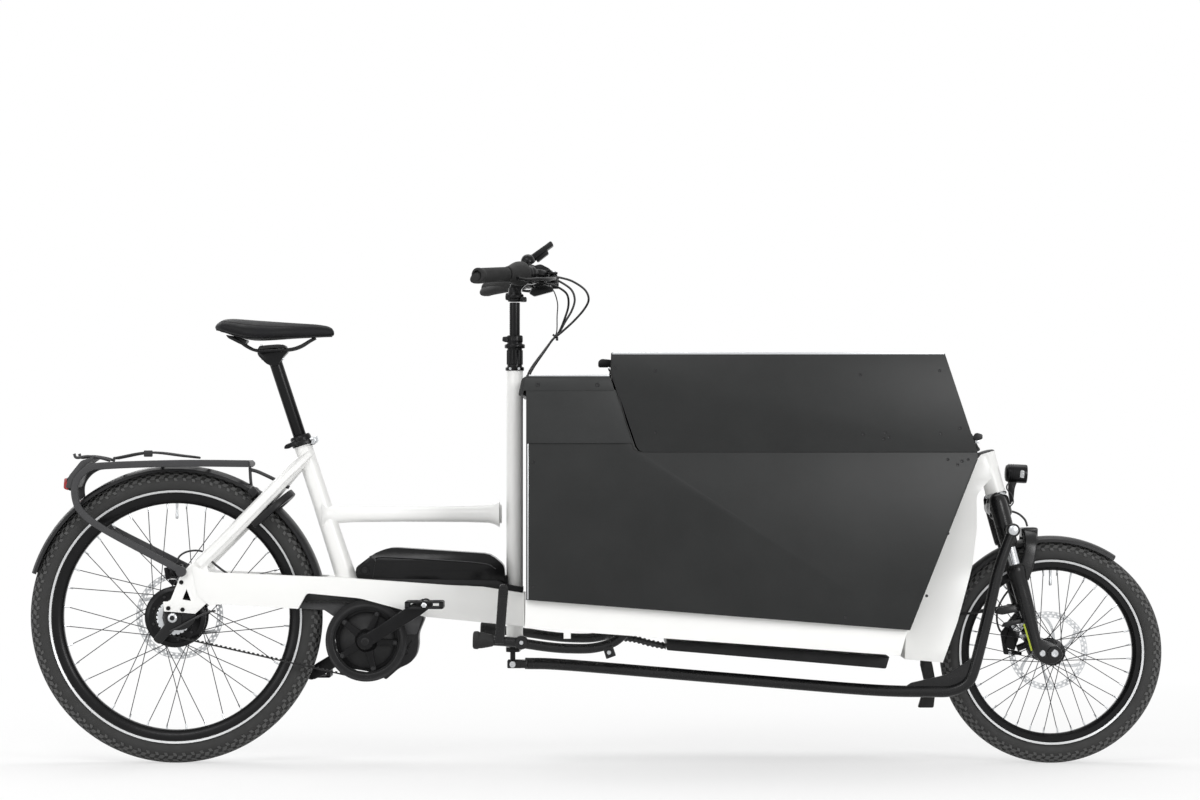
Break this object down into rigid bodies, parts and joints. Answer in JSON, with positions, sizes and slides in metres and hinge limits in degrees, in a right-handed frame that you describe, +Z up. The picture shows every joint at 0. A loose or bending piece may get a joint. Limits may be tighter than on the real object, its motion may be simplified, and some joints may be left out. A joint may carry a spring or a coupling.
{
  "type": "cargo bicycle",
  "caption": "Electric cargo bicycle with a long front box under a hinged lid, rod-linked front steering, suspension fork, belt drive and rear carrier.",
  "frame": {"origin": "bottom centre of the bounding box, on the floor under the bicycle", "axes": "+X forward along the bicycle, +Y to its left side, +Z up"},
  "size_m": [2.6345, 0.672, 1.2139],
  "materials": {
    "white_frame": "gloss",
    "panel": "fine grained matt",
    "black_metal": "satin",
    "black_plastic": "matt",
    "tyre_rubber": "matt",
    "soft_rubber": "matt",
    "bare_steel": "brushed",
    "saddle_cover": "matt"
  },
  "bodies": {
    "chassis": {"frame": "white_frame", "cargo_floor_pan": "white_frame", "front_mast": "white_frame", "box_side_right": "panel", "box_side_left": "panel", "box_rear_wall": "panel", "box_front_wall": "panel", "box_floor": "panel", "rear_hood": "panel", "motor": "black_metal", "motor_shroud": "black_plastic", "battery": "black_plastic", "under_floor_cover": "black_plastic", "cable_conduit": "black_plastic", "seat_clamp": "black_metal", "belt": "soft_rubber", "rear_axle": "black_plastic", "rear_mudguard": "black_plastic", "rear_caliper": "black_metal", "rack": "black_metal", "ring_lock": "black_plastic", "underride_post": "black_plastic"},
    "seat": {"seat_post": "black_metal", "saddle_rails": "black_metal", "saddle": "saddle_cover"},
    "column": {"steering_column": "black_metal"},
    "handlebar_set": {"stem": "black_metal", "handlebar": "black_metal", "grip_right": "soft_rubber", "grip_left": "soft_rubber", "control_cables": "black_plastic"},
    "lever_right": {"brake_lever_right": "black_metal"},
    "lever_left": {"brake_lever_left": "black_metal"},
    "twist": {"twist_shifter": "soft_rubber"},
    "screen": {"display": "black_plastic"},
    "rod_end": {"rod_joint": "black_metal"},
    "rod": {"steering_rod": "black_metal"},
    "fork": {"fork_crown": "black_metal", "headlight": "black_plastic"},
    "lower_legs": {"fork_lowers": "black_metal", "front_mudguard": "black_plastic", "front_caliper": "black_metal"},
    "front_wheel": {"front_tyre": "tyre_rubber", "front_rim": "black_metal", "front_hub": "black_metal", "front_rotor": "bare_steel"},
    "rear_wheel": {"rear_tyre": "tyre_rubber", "rear_rim": "black_metal", "rear_hub": "black_metal", "rear_rotor": "bare_steel"},
    "drive_cog": {"rear_cog": "bare_steel"},
    "cranks": {"belt_ring": "black_plastic", "crank_right": "black_metal", "crank_left": "black_metal"},
    "right_pedal": {"pedal_right": "black_plastic"},
    "left_pedal": {"pedal_left": "black_plastic"},
    "lid_body": {"lid": "panel"},
    "lid_pull": {"lid_handle": "black_plastic"},
    "prop_stand": {"stand": "black_metal"},
    "carrier_flap": {"rack_flap": "black_metal"}
  },
  "joints": [
    {"name": "steering", "type": "hinge", "parent": "chassis", "child": "column", "pos_m": [-0.1897, 0, 0.6], "axis": [0, 0, 1], "range_deg": [-22, 22]},
    {"name": "handlebar_height", "type": "slide", "parent": "column", "child": "handlebar_set", "axis": [0, 0, 1], "range_m": [0, 0.08]},
    {"name": "right_brake_lever", "type": "hinge", "parent": "handlebar_set", "child": "lever_right", "pos_m": [-0.097, -0.12, 1.13], "axis": [0, 0, -1], "range_deg": [0, 8], "stiffness_Nm_per_rad": 2, "springref_deg": -14.32},
    {"name": "left_brake_lever", "type": "hinge", "parent": "handlebar_set", "child": "lever_left", "pos_m": [-0.097, 0.12, 1.13], "axis": [0, 0, 1], "range_deg": [0, 8], "stiffness_Nm_per_rad": 2, "springref_deg": -14.32},
    {"name": "gear_twist", "type": "hinge", "parent": "handlebar_set", "child": "twist", "pos_m": [-0.16, -0.178, 1.131], "axis": [-0.5842, -0.8088, -0.0674], "range_deg": [-60, 60]},
    {"name": "display_tilt", "type": "hinge", "parent": "handlebar_set", "child": "screen", "pos_m": [-0.156, 0, 1.163], "axis": [0, 1, 0], "range_deg": [-20, 18]},
    {"name": "rod_swing", "type": "hinge", "parent": "column", "child": "rod_end", "pos_m": [-0.1897, -0.165, 0.25], "axis": [0, 0, 1], "range_deg": [-22.5, 22.5]},
    {"name": "rod_pitch", "type": "hinge", "parent": "rod_end", "child": "rod", "pos_m": [-0.1897, -0.165, 0.239], "axis": [0, 1, 0], "range_deg": [-2, 2]},
    {"name": "fork_steering", "type": "hinge", "parent": "chassis", "child": "fork", "pos_m": [0.933, 0, 0.623], "axis": [-0.2588, 0, 0.9659], "range_deg": [-22.5, 22.5]},
    {"name": "fork_travel", "type": "slide", "parent": "fork", "child": "lower_legs", "axis": [-0.2588, 0, 0.9659], "range_m": [0, 0.04], "stiffness_N_per_m": 10000, "springref_m": -0.03},
    {"name": "front_wheel_spin", "type": "hinge", "parent": "lower_legs", "child": "front_wheel", "pos_m": [1.059, 0, 0.258], "axis": [0, 1, 0], "continuous": true},
    {"name": "rear_wheel_spin", "type": "hinge", "parent": "chassis", "child": "rear_wheel", "pos_m": [-0.9775, 0, 0.34], "axis": [0, 1, 0], "continuous": true},
    {"name": "crank_spin", "type": "hinge", "parent": "chassis", "child": "cranks", "pos_m": [-0.5315, 0, 0.2863], "axis": [0, 1, 0], "continuous": true},
    {"name": "cog_spin", "type": "hinge", "parent": "chassis", "child": "drive_cog", "pos_m": [-0.9775, 0, 0.34], "axis": [0, 1, 0], "continuous": true},
    {"name": "right_pedal_spin", "type": "hinge", "parent": "cranks", "child": "right_pedal", "pos_m": [-0.39157, -0.15, 0.37374], "axis": [0, 1, 0], "continuous": true},
    {"name": "left_pedal_spin", "type": "hinge", "parent": "cranks", "child": "left_pedal", "pos_m": [-0.67143, 0.15, 0.19886], "axis": [0, 1, 0], "continuous": true},
    {"name": "seat_height", "type": "slide", "parent": "chassis", "child": "seat", "axis": [-0.3137, 0, 0.9495], "range_m": [-0.045, 0.09]},
    {"name": "lid_hinge", "type": "hinge", "parent": "chassis", "child": "lid_body", "pos_m": [0.866, 0, 0.729], "axis": [0, 1, 0], "range_deg": [0, 95]},
    {"name": "lid_pull_hinge", "type": "hinge", "parent": "lid_body", "child": "lid_pull", "pos_m": [0.034, 0, 0.938], "axis": [0, 1, 0], "range_deg": [0, 70]},
    {"name": "stand_pivot", "type": "hinge", "parent": "chassis", "child": "prop_stand", "pos_m": [0.072, 0, 0.318], "axis": [0, -1, 0], "range_deg": [0, 110]},
    {"name": "flap_hinge", "type": "hinge", "parent": "chassis", "child": "carrier_flap", "pos_m": [-1.118, 0, 0.709], "axis": [0, -1, 0], "range_deg": [0, 75], "stiffness_Nm_per_rad": 0.8, "springref_deg": -34.38}
  ],
  "couplings": [
    {"joint": "fork_steering", "follows": "steering", "ratio": 1},
    {"joint": "rod_swing", "follows": "steering", "ratio": -1},
    {"joint": "rod_pitch", "follows": "steering", "ratio": -0.0361},
    {"joint": "cog_spin", "follows": "crank_spin", "ratio": 2.0833}
  ]
}
